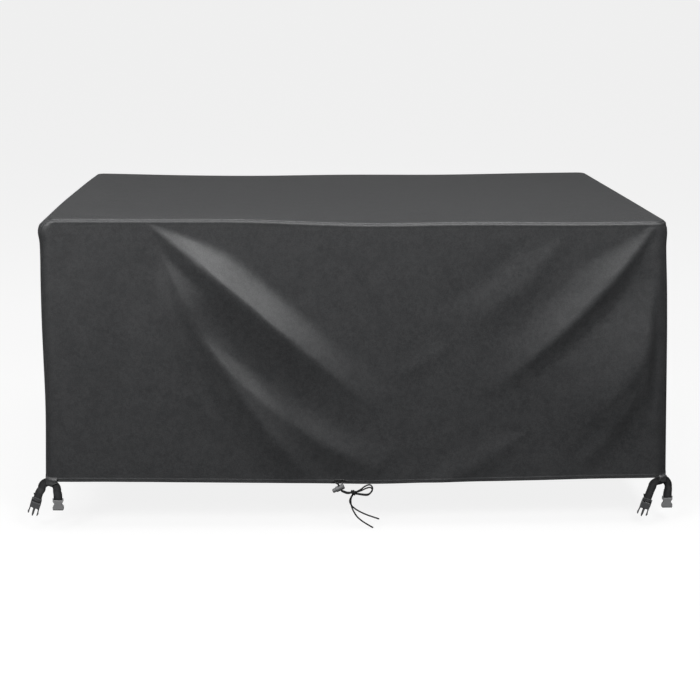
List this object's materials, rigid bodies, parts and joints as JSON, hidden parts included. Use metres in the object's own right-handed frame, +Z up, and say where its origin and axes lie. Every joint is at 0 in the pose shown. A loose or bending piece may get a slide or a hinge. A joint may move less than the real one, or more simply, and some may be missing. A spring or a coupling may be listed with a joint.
{
  "type": "fitted rectangular patio furniture cover",
  "caption": "Rectangular patio furniture cover of dark coated cloth, hanging in soft folds, with buckled webbing straps at its corners and a drawcord tied in a bow.",
  "frame": {"origin": "middle of the underside of the top panel, where the furniture carries the cover", "axes": "+X to the right along the long side, -Y to the front with the drawcord, +Z up"},
  "size_m": [1.967, 1.282, 0.934],
  "materials": {
    "coated_cloth": "matt, finely woven",
    "webbing": "matt, ribbed",
    "buckle_plastic": "satin",
    "prong_plastic": "satin",
    "lock_plastic": "satin",
    "drawcord": "matt, braided"
  },
  "bodies": {
    "cover": {"back_panel": "coated_cloth", "bow_knot": "drawcord", "bow_loop_a": "drawcord", "bow_loop_b": "drawcord", "buckle_female_back_left": "buckle_plastic", "buckle_female_back_right": "buckle_plastic", "buckle_female_front_left": "buckle_plastic", "buckle_female_front_right": "buckle_plastic", "buckle_male_back_left": "prong_plastic", "buckle_male_back_right": "prong_plastic", "buckle_male_front_left": "prong_plastic", "buckle_male_front_right": "prong_plastic", "cord_lock_barrel": "lock_plastic", "corner_tab_back_left": "coated_cloth", "corner_tab_back_right": "coated_cloth", "corner_tab_front_left": "coated_cloth", "corner_tab_front_right": "coated_cloth", "drawcord_lead_a": "drawcord", "drawcord_lead_b": "drawcord", "drawcord_tail_a": "drawcord", "drawcord_tail_b": "drawcord", "front_panel": "coated_cloth", "left_panel": "coated_cloth", "right_panel": "coated_cloth", "strap_back_left": "webbing", "strap_back_right": "webbing", "strap_front_left": "webbing", "strap_front_right": "webbing", "top_panel": "coated_cloth"},
    "lock_button": {"cord_lock_button": "lock_plastic"}
  },
  "joints": [
    {"name": "lock_button_press", "type": "slide", "parent": "cover", "child": "lock_button", "axis": [0.8949, 0, 0.4462], "range_m": [0, 0.004], "stiffness_N_per_m": 800, "springref_m": -0.004}
  ]
}
